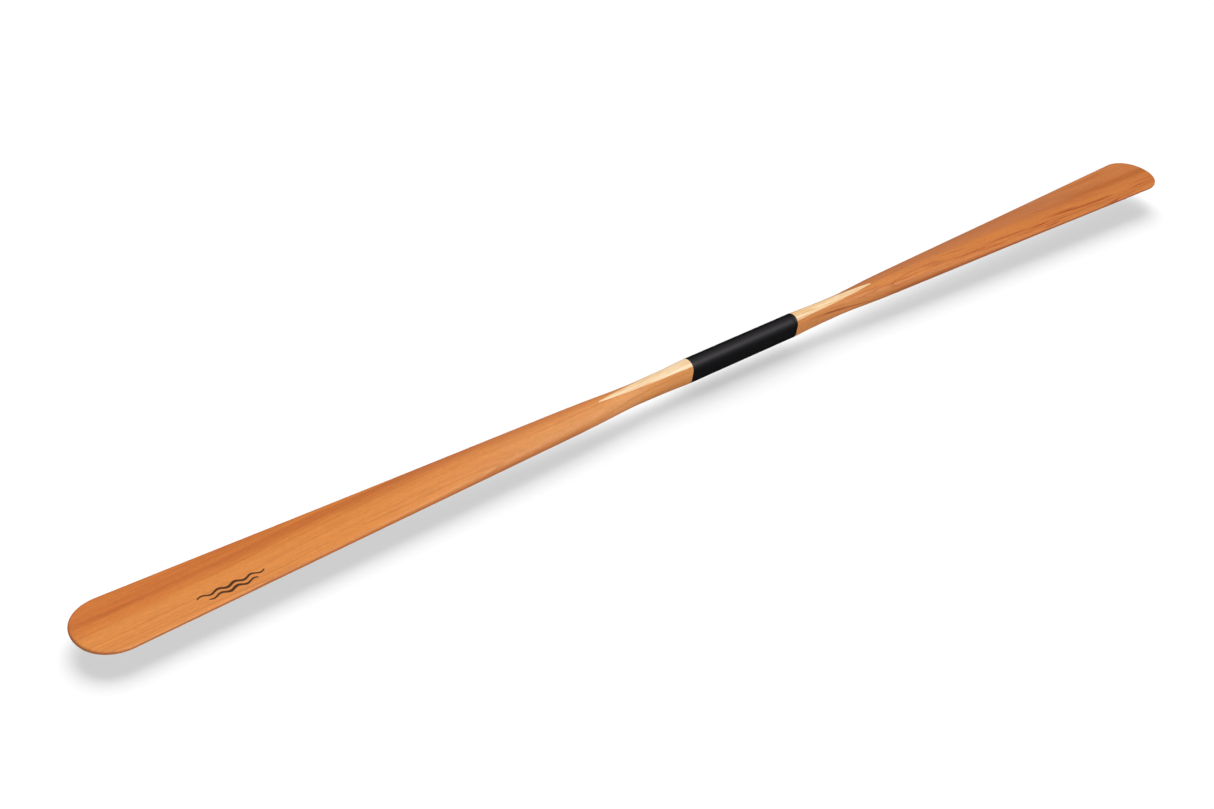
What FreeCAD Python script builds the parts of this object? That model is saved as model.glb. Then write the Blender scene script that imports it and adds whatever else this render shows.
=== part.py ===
import FreeCAD, Part
import math
import os
import Sketcher
from FreeCAD import Vector

# Two-piece traditional narrow-bladed kayak paddle, laid along X.
# Units are millimetres.  Origin: centre of the whole paddle.
#   +X  along the paddle, towards the half that carries the male spigot
#   +Y  across the blades
#   +Z  through the blades (thickness), +Z is the upper face
# Each half is one hand-shaped plank of cedar with a strip of pale wood glued on its
# upper and lower face; the loom ends of the halves meet in a carbon ferrule.

doc = FreeCAD.newDocument("kayak_paddle")

# ---------------------------------------------------------------------------
# Driving dimensions: alias, value or formula, note
# ---------------------------------------------------------------------------
WOOD = (
    ("half_length", 1050.0, "centre of the paddle to the tip of a blade"),
    ("shoulder_x", 108.8, "shoulder where the wood meets the ferrule, from the centre"),
    ("tip_start_x", 998.0, "where the tip's rounding begins"),
    ("tip_power", 2.07, "exponent of the tip's rounded outline"),
    ("loom_power", 2.44, "exponent of the loom's oval section"),
    ("left_lamination_z", 14.72, "left half: glue line of cedar and pale wood, from the middle"),
    ("left_lamella_end_x", 274.0, "left half: end of the pale strips, where they feather out"),
    ("right_lamination_z", 14.63, "right half: the same glue line, planed a little deeper"),
    ("right_lamella_end_x", 284.6, "right half: end of its pale strips, a little further out"),
    ("blank_half_width", 60.0, "half width of the glued-up blank"),
    ("blank_half_height", 24.0, "half height of the glued-up blank"),
    ("blank_overhang", 5.0, "length of the blank beyond the blade's tip"),
)
FERRULE = (
    ("sleeve_width", 26.7, "outside of the ferrule across Y"),
    ("sleeve_height", 39.7, "outside of the ferrule across Z"),
    ("sleeve_wall", 1.6, "wall of the outer carbon tube"),
    ("sleeve_end_x", 103.1, "open end of the sleeve, from the centre"),
    ("seam_gap", 0.2, "hairline between sleeve and collar when closed"),
    ("edge_break", 0.5, "radius of the broken edges on the ferrule's parts"),
    ("spigot_clearance", 0.08, "running clearance of the spigot in the sleeve, per side"),
    ("spigot_wall", 1.5, "wall of the inner carbon tube"),
    ("spigot_end_x", -6.0, "inner end of the spigot"),
    ("bore_width", "=sleeve_width - 2 * sleeve_wall", "inside of the sleeve across Y"),
    ("bore_height", "=sleeve_height - 2 * sleeve_wall", "inside of the sleeve across Z"),
    ("spigot_width", "=bore_width - 2 * spigot_clearance", "outside of the spigot across Y"),
    ("spigot_height", "=bore_height - 2 * spigot_clearance", "outside of the spigot across Z"),
    ("core_width", "=spigot_width - 2 * spigot_wall", "inside of the spigot across Y"),
    ("core_height", "=spigot_height - 2 * spigot_wall", "inside of the spigot across Z"),
    ("glue_gap", 0.1, "glue line around each wooden tenon, per side"),
    ("left_tenon_end_x", -28.8, "end of the tenon glued in the sleeve"),
    ("right_tenon_end_x", 60.0, "end of the tenon glued in the spigot"),
    ("plug_flange", 1.0, "thickness of the end plug's flange"),
    ("plug_inset", 0.2, "flange inside the spigot's outline, per side"),
    ("plug_depth", 8.0, "depth of the end plug inside the spigot"),
)
LOCK = (
    ("button_x", 30.0, "locking button, from the centre"),
    ("button_diameter", 6.0, "pin of the locking button"),
    ("button_hole_diameter", 6.3, "hole for the button in both tubes"),
    ("button_foot_diameter", 8.6, "foot of the button, held inside the spigot"),
    ("button_foot", 1.1, "thickness of the foot"),
    ("button_base_y", 4.1, "underside of the foot with the button pressed in"),
    ("button_top_y", 11.55, "top of the pressed-in button, just inside the sleeve's bore"),
    ("button_dome", 1.6, "height of the button's domed top"),
    ("spring_width", 7.0, "width of the bent spring strip"),
    ("spring_strip", 0.7, "thickness of the spring strip"),
    ("spring_top_y", 4.04, "outside of the leg under the button"),
    ("spring_low_y", -10.05, "outside of the leg on the far wall"),
    ("spring_tail_x", 18.0, "open ends of the spring"),
    ("spring_bend_x", 48.0, "centre of the spring's bend"),
)

# Sections along a half: distance from the centre, half width, half thickness at the crown,
# half thickness of the rim, slope of the crown's flanks, softness of the ridge between them
FIELDS = ("station", "half_width", "half_thickness", "rim", "flank", "ridge")
STATIONS = (
    (108.8, 13.26, 19.78, 11.00, 0.110, 1.2),
    (130.0, 12.41, 19.23, 10.99, 0.110, 1.2),
    (150.0, 12.14, 18.43, 10.96, 0.110, 1.2),
    (170.0, 12.52, 17.51, 10.87, 0.110, 1.2),
    (190.0, 13.43, 16.59, 10.69, 0.110, 1.2),
    (215.0, 15.03, 15.62, 10.31, 0.110, 1.2),
    (240.0, 16.90, 15.13, 9.73, 0.110, 1.2),
    (276.8, 20.00, 14.74, 8.74, 0.110, 1.4),
    (320.0, 22.67, 14.39, 7.73, 0.110, 2.0),
    (381.8, 25.18, 13.74, 6.58, 0.110, 3.0),
    (470.0, 28.49, 12.51, 5.23, 0.105, 5.0),
    (572.7, 32.08, 10.79, 4.09, 0.100, 8.0),
    (690.0, 35.97, 8.84, 3.44, 0.080, 10.0),
    (811.4, 40.03, 6.57, 3.15, 0.060, 12.0),
    (905.0, 43.18, 4.74, 2.95, 0.040, 13.0),
    (998.0, 46.09, 3.32, 2.69, 0.020, 14.0),
    (1050.0, 47.96, 2.90, 2.50, 0.010, 15.0),
)


def station_alias(field, i):
    return f"{field}_no_{i:02d}"


station_rows = tuple((station_alias(field, i), value, "")
                     for i, values in enumerate(STATIONS)
                     for field, value in zip(FIELDS, values))

sheet = doc.addObject("Spreadsheet::Sheet", "Dimensions")
sheet.Label = "Dimensions"
for row, (alias, value, note) in enumerate(WOOD + station_rows + FERRULE + LOCK, 1):
    sheet.set(f"A{row}", alias)
    sheet.set(f"B{row}", value if isinstance(value, str) else repr(value))
    sheet.setAlias(f"B{row}", alias)
    if note:
        sheet.set(f"C{row}", note)
doc.recompute()


def dim(alias):
    return float(sheet.get(alias))


def length(text):
    """Expression in millimetres; aliases stand in braces."""
    return "(%s) * 1 mm" % text.replace("{", "Dimensions.").replace("}", "")


# ---------------------------------------------------------------------------
# Shaped wood: outer form of one half, read from the sheet
# ---------------------------------------------------------------------------
HALF, SHOULDER = dim("half_length"), dim("shoulder_x")
TIP_START, TIP_POWER, LOOM_POWER = dim("tip_start_x"), dim("tip_power"), dim("loom_power")
TIP_LENGTH = HALF - TIP_START
QUARTER_TURN = math.pi / 2
BLADE_BLEND_X, BLADE_BLEND_LENGTH = 150, 180.0  # where the loom's oval turns into the blade
SHOULDER_BLEND_LENGTH = 50.0  # run from the ferrule's flat-sided oval to the loom's
RIM_SHARE = 0.4  # share of a quarter's points spent on the rim
RIM_LIMIT = 0.7  # the rim's greatest part of the half width
FINE_STEPS = 400  # points computed on a quarter before sampling
BISECTIONS = 45

# Relative gaps between the samples of a quarter, from the edge to the crown: close on the rim
GAPS = (12, 14, 17, 21, 27, 36, 50, 70, 90, 105, 112, 110, 100, 88, 75, 65)
SHARES = [sum(GAPS[:i]) / float(sum(GAPS)) for i in range(len(GAPS) + 1)]
# Spline parameters all round the section, one unit per quarter
PARAMETERS = (SHARES + [2 - share for share in reversed(SHARES[:-1])]
              + [2 + share for share in SHARES[1:]]
              + [4 - share for share in reversed(SHARES[:-1])])

# Places of the lofted sections; at the tip they are given by their distance from its end
CUTS = [SHOULDER, 120, 132, 145, 160, 175, 190, 205, 220, 235, 250, 265, 280, 300, 325, 355,
        390, 430, 480, 540, 610, 690, 770, 850, 920, 970, TIP_START]
CUTS += [HALF - back for back in (46, 38, 30, 23, 17, 12, 8, 5.2, 3.4, 2.2, 1.3, 0.6, 0.2)]


def natural_cubic(xs, ys):
    """Function giving the natural cubic spline through the points."""
    count = len(xs)
    step = [xs[i + 1] - xs[i] for i in range(count - 1)]
    upper, solved = [0.0] * count, [0.0] * count
    slope, bend, twist = [0.0] * count, [0.0] * count, [0.0] * count
    for i in range(1, count - 1):
        target = 3 * (ys[i + 1] - ys[i]) / step[i] - 3 * (ys[i] - ys[i - 1]) / step[i - 1]
        pivot = 2 * (xs[i + 1] - xs[i - 1]) - step[i - 1] * upper[i - 1]
        upper[i] = step[i] / pivot
        solved[i] = (target - step[i - 1] * solved[i - 1]) / pivot
    for i in range(count - 2, -1, -1):
        bend[i] = solved[i] - upper[i] * bend[i + 1]
        slope[i] = (ys[i + 1] - ys[i]) / step[i] - step[i] * (bend[i + 1] + 2 * bend[i]) / 3
        twist[i] = (bend[i + 1] - bend[i]) / (3 * step[i])

    def value(x):
        i = 0
        while i < count - 2 and x > xs[i + 1]:
            i += 1
        along = x - xs[i]
        return ys[i] + slope[i] * along + bend[i] * along * along + twist[i] * along ** 3

    return value


table = {field: [dim(station_alias(field, i)) for i in range(len(STATIONS))]
         for field in FIELDS}
law = {field: natural_cubic(table["station"], table[field]) for field in FIELDS[1:]}


def smooth(share):
    """Ease from 0 to 1 without a kink in slope or curvature."""
    share = max(0.0, min(1.0, share))
    return share * share * share * (share * (6 * share - 15) + 10)


def blend(first, second, share):
    return tuple((1 - share) * start + share * end for start, end in zip(first, second))


def half_width(station):
    """Half width of the outline, with the tip's rounding."""
    wide = law["half_width"](station)
    if station <= TIP_START:
        return wide
    along = min(1.0, (station - TIP_START) / TIP_LENGTH)
    return wide * max(0.0, 1 - along ** TIP_POWER) ** (1 / TIP_POWER)


def edge_distance(station, y):
    """Distance in plan from a point inside the outline to the outline."""
    wide, y = law["half_width"](station), abs(y)
    if station <= TIP_START:
        return wide - y
    along = (station - TIP_START) / TIP_LENGTH
    level = (y / wide) ** TIP_POWER + along ** TIP_POWER
    if level >= 1:
        return 0.0
    slope_y = y ** (TIP_POWER - 1) / wide ** TIP_POWER
    slope_x = along ** (TIP_POWER - 1) / TIP_LENGTH
    slope = level ** (1 / TIP_POWER - 1) * math.hypot(slope_x, slope_y)
    return (1 - level ** (1 / TIP_POWER)) / slope if slope > 1e-9 else 1e9


def rim_width(station, edge, rim):
    """Width across Y of the rounded rim, which reaches in from the outline by its radius."""
    width = edge
    if edge_distance(station, 0) > rim:
        inner, outer = 0.0, edge
        for _ in range(BISECTIONS):
            middle = (inner + outer) / 2
            if edge_distance(station, middle) > rim:
                inner = middle
            else:
                outer = middle
        width = edge - inner
    return min(width, RIM_LIMIT * edge)


def power_oval_point(edge, crest, share):
    """Point of the loom's oval section."""
    angle = QUARTER_TURN * share
    return (edge * max(0.0, math.cos(angle)) ** (2 / LOOM_POWER),
            crest * math.sin(angle) ** (2 / LOOM_POWER))


def flat_oval_point(edge, crest, share):
    """Point of a flat-sided oval like the ferrule's."""
    flat = crest - edge
    flat_share = flat / (flat + edge * math.pi / 2)
    if share <= flat_share:
        return edge, flat * share / flat_share
    angle = math.pi / 2 * (share - flat_share) / (1 - flat_share)
    return edge * math.cos(angle), flat + edge * math.sin(angle)


def quarter(station):
    """Points of one quarter of a section, from the edge (+Y) to the crown (+Z)."""
    edge, wide = half_width(station), law["half_width"](station)
    crest, rim = law["half_thickness"](station), law["rim"](station)
    flank, ridge = law["flank"](station), law["ridge"](station)
    hollow = (crest - rim - flank * (math.hypot(wide, ridge) - ridge)) / wide ** 2
    rim_y = rim_width(station, edge, rim)
    to_blade = smooth((station - BLADE_BLEND_X) / BLADE_BLEND_LENGTH)
    off_shoulder = smooth((station - SHOULDER) / SHOULDER_BLEND_LENGTH)
    points = []
    for i in range(FINE_STEPS + 1):
        share = i / float(FINE_STEPS)
        if share <= RIM_SHARE:
            y = edge - rim_y * (1 - math.cos(math.pi / 2 * share / RIM_SHARE))
        else:
            y = (edge - rim_y) * (1 - (share - RIM_SHARE) / (1 - RIM_SHARE))
        rise = min(rim, edge_distance(station, y)) / rim
        crown = crest - flank * (math.hypot(y, ridge) - ridge) - hollow * y * y
        z = crown * (math.sqrt(max(0.0, 1 - (1 - rise) ** 2)) if i else 0.0)
        point = (y, z)
        if to_blade < 1:
            loom = power_oval_point(edge, crest, share)
            if off_shoulder < 1:
                loom = blend(flat_oval_point(edge, crest, share), loom, off_shoulder)
            point = blend(loom, point, to_blade)
        points.append(point)
    return points


def section_points(station):
    """The quarter sampled at SHARES of its length, mirrored to a full ring."""
    fine = quarter(station)
    run = [0.0]
    for start, end in zip(fine, fine[1:]):
        run.append(run[-1] + math.hypot(end[0] - start[0], end[1] - start[1]))
    samples, j = [], 0
    for share in SHARES:
        wanted = share * run[-1]
        while j < len(run) - 2 and run[j + 1] < wanted:
            j += 1
        part = (wanted - run[j]) / (run[j + 1] - run[j])
        samples.append((fine[j][0] + part * (fine[j + 1][0] - fine[j][0]),
                        fine[j][1] + part * (fine[j + 1][1] - fine[j][1])))
    ring = list(samples)
    ring += [(-y, z) for y, z in reversed(samples[:-1])]
    ring += [(-y, -z) for y, z in samples[1:]]
    ring += [(y, -z) for y, z in reversed(samples[1:-1])]
    return [Vector(station, y, z) for y, z in ring]


def make_half_form():
    """Right half's outer form, lofted from the shoulder to a point at the tip."""
    sections = []
    for station in CUTS:
        curve = Part.BSplineCurve()
        curve.interpolate(Points=section_points(station), PeriodicFlag=True,
                          Parameters=PARAMETERS)
        sections.append(Part.Wire([curve.toShape()]))
    sections.append(Part.Vertex(HALF, 0, 0))
    form = doc.addObject("Part::Feature", "HalfForm")
    form.Label = "half_outer_form"
    form.Shape = Part.makeLoft(sections, True, False)
    return form


def make_mirrored_form(source):
    form = doc.addObject("Part::Mirroring", "HalfFormMirrored")
    form.Label = "half_outer_form_mirrored"
    form.Source = source
    form.Normal = (1, 0, 0)
    doc.recompute()
    return form


# ---------------------------------------------------------------------------
# Helpers for sketches and bodies
# ---------------------------------------------------------------------------
START, END, CENTRE = 1, 2, 3  # points of a sketch element
X_AXIS, Y_AXIS = -1, -2
ORIGIN = (-1, 1)
NORMAL = Vector(0, 0, 1)
PLANE_TOLERANCE = 0.02  # an edge this near a plane lies in it
OUTLINE_TOLERANCE = 0.05  # an edge this near the outline's width belongs to it


def camel(name):
    return name.title().replace("_", "")


def new_body(name):
    body = doc.addObject("PartDesign::Body", camel(name))
    body.Label = name
    return body


def new_sketch(body, name, role):
    sketch = body.newObject("Sketcher::SketchObject", name)
    plane = next(item for item in body.Origin.OriginFeatures if item.Role == role)
    sketch.AttachmentSupport = (plane, [""])
    sketch.MapMode = "FlatFace"
    return sketch


def line(x_start, y_start, x_end, y_end):
    return Part.LineSegment(Vector(x_start, y_start, 0), Vector(x_end, y_end, 0))


def arc(x, y, radius, first, last):
    return Part.ArcOfCircle(Part.Circle(Vector(x, y, 0), NORMAL, radius), first, last)


def draw(sketch, *shapes):
    return [sketch.addGeometry(shape, False) for shape in shapes]


def constrain(sketch, *rules):
    for rule in rules:
        sketch.addConstraint(Sketcher.Constraint(*rule))


def drive(sketch, name, expression, *rule):
    """Named dimension bound to the sheet; the rule ends in its starting value."""
    index = sketch.addConstraint(Sketcher.Constraint(*rule))
    sketch.renameConstraint(index, name)
    sketch.setExpression("Constraints." + name, length(expression))


def oval(body, name, x, outline, change=""):
    """Flat-sided oval (flats at +Y and -Y) in the YZ plane at x.

    outline is sleeve, bore, spigot or core; change is added to its width and height."""
    width = "{%s_width} %s" % (outline, change)
    height = "{%s_height} %s" % (outline, change)
    sketch = new_sketch(body, name, "YZ_Plane")
    sketch.setExpression("AttachmentOffset.Base.z", length(x))
    radius, rise = 10.0, 5.0  # starting shape; the sheet sets the final one
    right, top, left, low = draw(
        sketch,
        line(radius, -rise, radius, rise),
        arc(0, rise, radius, 0, math.pi),
        line(-radius, rise, -radius, -rise),
        arc(0, -rise, radius, math.pi, 2 * math.pi))
    constrain(
        sketch,
        ("Tangent", right, END, top, START),
        ("Tangent", top, END, left, START),
        ("Tangent", left, END, low, START),
        ("Tangent", low, END, right, START),
        ("Vertical", right),
        ("PointOnObject", top, CENTRE, Y_AXIS),
        ("Symmetric", top, CENTRE, low, CENTRE, *ORIGIN))
    drive(sketch, "centres", f"({height}) - ({width})",
          "DistanceY", low, CENTRE, top, CENTRE, 2 * rise)
    drive(sketch, "half_width", f"({width}) / 2", "Radius", top, radius)
    return sketch


def pad(body, name, sketch, size):
    feature = body.newObject("PartDesign::Pad", name)
    feature.Profile = sketch
    feature.setExpression("Length", length(size))
    return feature


def must_change(body, before, name):
    doc.recompute()
    if not abs(body.Shape.Volume - before) > 1e-3:
        raise RuntimeError(name + " changed nothing")


def pocket(body, name, sketch, size, along_normal):
    doc.recompute()
    before = body.Shape.Volume
    feature = body.newObject("PartDesign::Pocket", name)
    feature.Profile = sketch
    feature.Reversed = along_normal
    feature.setExpression("Length", length(size))
    must_change(body, before, name)


def button_hole(body, name):
    """Round hole through the +Y wall only, on the button's axis."""
    sketch = new_sketch(body, name + "Sketch", "XZ_Plane")
    x, diameter = dim("button_x"), dim("button_hole_diameter")
    circle, = draw(sketch, Part.Circle(Vector(x, 0, 0), NORMAL, diameter / 2))
    constrain(sketch, ("PointOnObject", circle, CENTRE, X_AXIS))
    drive(sketch, "along", "{button_x}", "DistanceX", *ORIGIN, circle, CENTRE, x)
    drive(sketch, "bore", "{button_hole_diameter}", "Diameter", circle, diameter)
    pocket(body, name, sketch, "{sleeve_width}", along_normal=False)


def outer_edges(shape, x, width):
    """Names of the edges in the plane at x that lie on the outline of that width."""
    names = []
    for i, edge in enumerate(shape.Edges, 1):
        box = edge.BoundBox
        in_plane = max(abs(box.XMin - x), abs(box.XMax - x)) <= PLANE_TOLERANCE
        if in_plane and max(abs(box.YMin), abs(box.YMax)) > width / 2.0 - OUTLINE_TOLERANCE:
            names.append(f"Edge{i}")
    return names


def round_ends(body, name, ends, width):
    """Break the outer edges at each x in ends."""
    doc.recompute()
    base, before = body.Tip, body.Shape.Volume
    names = []
    for x in ends:
        names += outer_edges(base.Shape, x, width)
    feature = body.newObject("PartDesign::Fillet", name)
    feature.Base = (base, names)
    feature.setExpression("Radius", length("{edge_break}"))
    must_change(body, before, name)


def make_tube(word, start, size, outside, inside, change=""):
    """Carbon tube along +X from start; change is added to the inside outline."""
    body, prefix = new_body("ferrule_" + word), word.title()
    pad(body, prefix + "Pad", oval(body, prefix + "Outside", start, outside), size)
    pocket(body, prefix + "Bore", oval(body, prefix + "Inside", start, inside, change), size,
           along_normal=True)
    return body


# ---------------------------------------------------------------------------
# Wooden pieces
# ---------------------------------------------------------------------------
# Piece, reach from the centre, bottom and top of its layer in the glued-up blank
LAYERS = (
    ("blade_core", "{half_length} + {blank_overhang}",
     "-{SIDE_lamination_z}", "{SIDE_lamination_z}"),
    ("upper_lamella", "{SIDE_lamella_end_x}",
     "{SIDE_lamination_z}", "{blank_half_height}"),
    ("lower_lamella", "{SIDE_lamella_end_x}",
     "-{blank_half_height}", "-{SIDE_lamination_z}"),
)


def make_tenon(side, outline, start, size):
    """Loom end cut down to fit inside a ferrule tube."""
    body, prefix = new_body(side + "_tenon_form"), side.title() + "Tenon"
    sketch = oval(body, prefix + "Sketch", start, outline, "- 2 * {glue_gap}")
    pad(body, prefix + "Pad", sketch, size)
    doc.recompute()
    return body


def make_whole(side, form, tenon):
    whole = doc.addObject("Part::Fuse", side.title() + "Whole")
    whole.Base, whole.Tool = form, tenon
    whole.Refine = True
    doc.recompute()
    return whole


def make_layer(name, side, reach, low, high):
    """One layer of the blank, as a box on its side of the centre."""
    box = doc.addObject("Part::Box", camel(name))
    box.setExpression("Length", length(reach))
    box.setExpression("Width", length("2 * {blank_half_width}"))
    box.setExpression("Height", length(f"({high}) - ({low})"))
    if side == "left":
        box.setExpression("Placement.Base.x", length(f"-({reach})"))
    box.setExpression("Placement.Base.y", length("-{blank_half_width}"))
    box.setExpression("Placement.Base.z", length(low))
    return box


def make_wood(side, whole):
    """Each piece of wood is the shaped half inside its layer."""
    pieces = []
    for piece, *limits in LAYERS:
        name = f"{side}_{piece}"
        reach, low, high = (text.replace("SIDE", side) for text in limits)
        common = doc.addObject("Part::Common", camel(name))
        common.Base = whole
        common.Tool = make_layer(name + "_layer", side, reach, low, high)
        common.Label = name
        pieces.append(common)
    doc.recompute()
    return pieces


# ---------------------------------------------------------------------------
# Ferrule
# ---------------------------------------------------------------------------
def make_sleeve():
    """The female carbon tube, glued over the left tenon."""
    body = make_tube("sleeve", "-{shoulder_x}", "{shoulder_x} + {sleeve_end_x}",
                     "sleeve", "bore")
    button_hole(body, "SleeveButtonHole")
    ends = (-dim("shoulder_x"), dim("sleeve_end_x"))
    round_ends(body, "SleeveEnds", ends, dim("sleeve_width"))
    return body


def make_collar():
    """The ring bonded against the right shoulder, the stop for the sleeve."""
    body = make_tube("collar", "{sleeve_end_x} + {seam_gap}",
                     "{shoulder_x} - {sleeve_end_x} - {seam_gap}",
                     "sleeve", "spigot", "+ {glue_gap}")
    ends = (dim("sleeve_end_x") + dim("seam_gap"), dim("shoulder_x"))
    round_ends(body, "CollarEdges", ends, dim("sleeve_width"))
    return body


def make_spigot():
    """The male carbon tube, glued over the right tenon."""
    body = make_tube("spigot", "{spigot_end_x}", "{shoulder_x} - {spigot_end_x}",
                     "spigot", "core")
    button_hole(body, "SpigotButtonHole")
    round_ends(body, "SpigotLeadIn", (dim("spigot_end_x"),), dim("spigot_width"))
    return body


def make_plug():
    """Closes the hollow spigot against water."""
    body, start = new_body("spigot_end_plug"), "{spigot_end_x} - {plug_flange}"
    barrel = oval(body, "PlugBarrelSketch", start, "core", "- 2 * {glue_gap}")
    pad(body, "PlugBarrel", barrel, "{plug_depth} + {plug_flange}")
    flange = oval(body, "PlugFlangeSketch", start, "spigot", "- 2 * {plug_inset}")
    pad(body, "PlugFlange", flange, "{plug_flange}")
    round_ends(body, "PlugNose", (dim("spigot_end_x") - dim("plug_flange"),),
               dim("spigot_width") - 2 * dim("plug_inset"))
    return body


# ---------------------------------------------------------------------------
# Lock
# ---------------------------------------------------------------------------
def make_spring():
    """A strip of stainless steel bent to a hairpin inside the spigot."""
    body = new_body("button_spring")
    sketch = new_sketch(body, "SpringSketch", "XY_Plane")
    bend_x, tail_x = dim("spring_bend_x"), dim("spring_tail_x")
    top_y, low_y, strip = dim("spring_top_y"), dim("spring_low_y"), dim("spring_strip")
    middle_y, radius = (top_y + low_y) / 2, (top_y - low_y) / 2
    top_out, bend_out, low_out, low_tip, low_in, bend_in, top_in, top_tip = draw(
        sketch,
        line(tail_x, top_y, bend_x, top_y),
        arc(bend_x, middle_y, radius, -math.pi / 2, math.pi / 2),
        line(bend_x, low_y, tail_x, low_y),
        line(tail_x, low_y, tail_x, low_y + strip),
        line(tail_x, low_y + strip, bend_x, low_y + strip),
        arc(bend_x, middle_y, radius - strip, -math.pi / 2, math.pi / 2),
        line(bend_x, top_y - strip, tail_x, top_y - strip),
        line(tail_x, top_y - strip, tail_x, top_y))
    constrain(
        sketch,
        ("Coincident", top_out, START, top_tip, END),
        ("Tangent", top_out, END, bend_out, END),
        ("Tangent", bend_out, START, low_out, START),
        ("Coincident", low_out, END, low_tip, START),
        ("Coincident", low_tip, END, low_in, START),
        ("Tangent", low_in, END, bend_in, START),
        ("Tangent", bend_in, END, top_in, START),
        ("Coincident", top_in, END, top_tip, START),
        ("Horizontal", top_out),
        ("Horizontal", low_in),
        ("Vertical", low_tip),
        ("Vertical", top_tip),
        ("Coincident", bend_out, CENTRE, bend_in, CENTRE))
    drive(sketch, "bend_x", "{spring_bend_x}", "DistanceX", *ORIGIN, bend_out, CENTRE, bend_x)
    drive(sketch, "tail_x", "{spring_tail_x}", "DistanceX", *ORIGIN, top_out, START, tail_x)
    drive(sketch, "low_tail_x", "{spring_tail_x}", "DistanceX", *ORIGIN, low_out, END, tail_x)
    drive(sketch, "top_y", "{spring_top_y}", "DistanceY", *ORIGIN, top_out, START, top_y)
    drive(sketch, "spread", "{spring_top_y} - {spring_low_y}",
          "DistanceY", low_out, END, top_out, START, top_y - low_y)
    drive(sketch, "strip", "{spring_strip}", "DistanceY", low_tip, START, low_tip, END, strip)
    pad(body, "SpringStrip", sketch, "{spring_width}").Midplane = True
    doc.recompute()
    return body


def make_button():
    """A turned pin with a foot and a domed top, pressed in at rest; it slides along +Y."""
    body = new_body("lock_button")
    body.setExpression("Placement.Base.x", length("{button_x}"))
    body.setExpression("Placement.Base.y", length("{button_base_y}"))
    sketch = new_sketch(body, "ButtonProfile", "XY_Plane")
    pin_radius, foot_radius = dim("button_diameter") / 2, dim("button_foot_diameter") / 2
    foot_height, dome_height = dim("button_foot"), dim("button_dome")
    height = dim("button_top_y") - dim("button_base_y")
    dome_radius = (pin_radius ** 2 + dome_height ** 2) / (2 * dome_height)
    dome_angle = math.asin(pin_radius / dome_radius)
    base, foot_side, foot_top, pin_side, dome, axis = draw(
        sketch,
        line(0, 0, foot_radius, 0),
        line(foot_radius, 0, foot_radius, foot_height),
        line(foot_radius, foot_height, pin_radius, foot_height),
        line(pin_radius, foot_height, pin_radius, height - dome_height),
        arc(0, height - dome_radius, dome_radius, math.pi / 2 - dome_angle, math.pi / 2),
        line(0, height, 0, 0))
    constrain(
        sketch,
        ("Coincident", base, END, foot_side, START),
        ("Coincident", foot_side, END, foot_top, START),
        ("Coincident", foot_top, END, pin_side, START),
        ("Coincident", pin_side, END, dome, START),
        ("Coincident", dome, END, axis, START),
        ("Coincident", axis, END, base, START),
        ("Coincident", base, START, *ORIGIN),
        ("Horizontal", base),
        ("Vertical", foot_side),
        ("Horizontal", foot_top),
        ("Vertical", pin_side),
        ("Vertical", axis),
        ("PointOnObject", dome, CENTRE, Y_AXIS))
    drive(sketch, "foot_radius", "{button_foot_diameter} / 2",
          "DistanceX", *ORIGIN, base, END, foot_radius)
    drive(sketch, "pin_radius", "{button_diameter} / 2",
          "DistanceX", *ORIGIN, pin_side, START, pin_radius)
    drive(sketch, "foot_height", "{button_foot}",
          "DistanceY", *ORIGIN, foot_side, END, foot_height)
    drive(sketch, "top", "{button_top_y} - {button_base_y}",
          "DistanceY", *ORIGIN, dome, END, height)
    drive(sketch, "dome", "{button_dome}", "DistanceY", dome, START, dome, END, dome_height)
    turned = body.newObject("PartDesign::Revolution", "ButtonTurned")
    turned.Profile = sketch
    turned.ReferenceAxis = (sketch, ["V_Axis"])
    turned.Angle = 360.0
    doc.recompute()
    return body


# ---------------------------------------------------------------------------
# Build
# ---------------------------------------------------------------------------
right_form = make_half_form()
left_form = make_mirrored_form(right_form)
left_tenon = make_tenon("left", "bore", "-{shoulder_x}", "{shoulder_x} + {left_tenon_end_x}")
right_tenon = make_tenon("right", "core", "{right_tenon_end_x}",
                         "{shoulder_x} - {right_tenon_end_x}")
left_whole = make_whole("left", left_form, left_tenon)
right_whole = make_whole("right", right_form, right_tenon)

pieces = make_wood("left", left_whole) + make_wood("right", right_whole)
for make_piece in (make_sleeve, make_collar, make_spigot, make_plug, make_spring, make_button):
    pieces.append(make_piece())

# ---------------------------------------------------------------------------
# Checks and export
# ---------------------------------------------------------------------------
doc.recompute()
faults = []
for item in doc.Objects:
    if "Invalid" in item.State or "Error" in item.State:
        faults.append(f"{item.Label} is {item.State}")
    if item.TypeId == "Sketcher::SketchObject" and item.solve() != 0:
        faults.append(f"{item.Name} does not solve")
for piece in pieces:
    if piece.Shape.isNull() or not piece.Shape.isValid():
        faults.append(f"{piece.Label} has no valid shape")
    elif len(piece.Shape.Solids) != 1:
        faults.append(f"{piece.Label} has {len(piece.Shape.Solids)} solids")
if faults:
    raise RuntimeError("; ".join(faults))

os.makedirs("parts", exist_ok=True)
for piece in pieces:
    piece.Shape.exportStep(os.path.join("parts", piece.Label + ".step"))
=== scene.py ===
"""Take-apart double paddle: two carved cedar halves joined by an oval carbon ferrule.

The paddle lies along X with its middle at the origin: left half towards -X, right half
towards +X, blade width along Y, thickness along Z, upper face towards +Z. Shapes are worked
out in millimetres and built in metres. Materials, stage and camera are in metres.
"""
import math

import bmesh
import bpy
import numpy as np
from mathutils import Matrix, Vector


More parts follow.
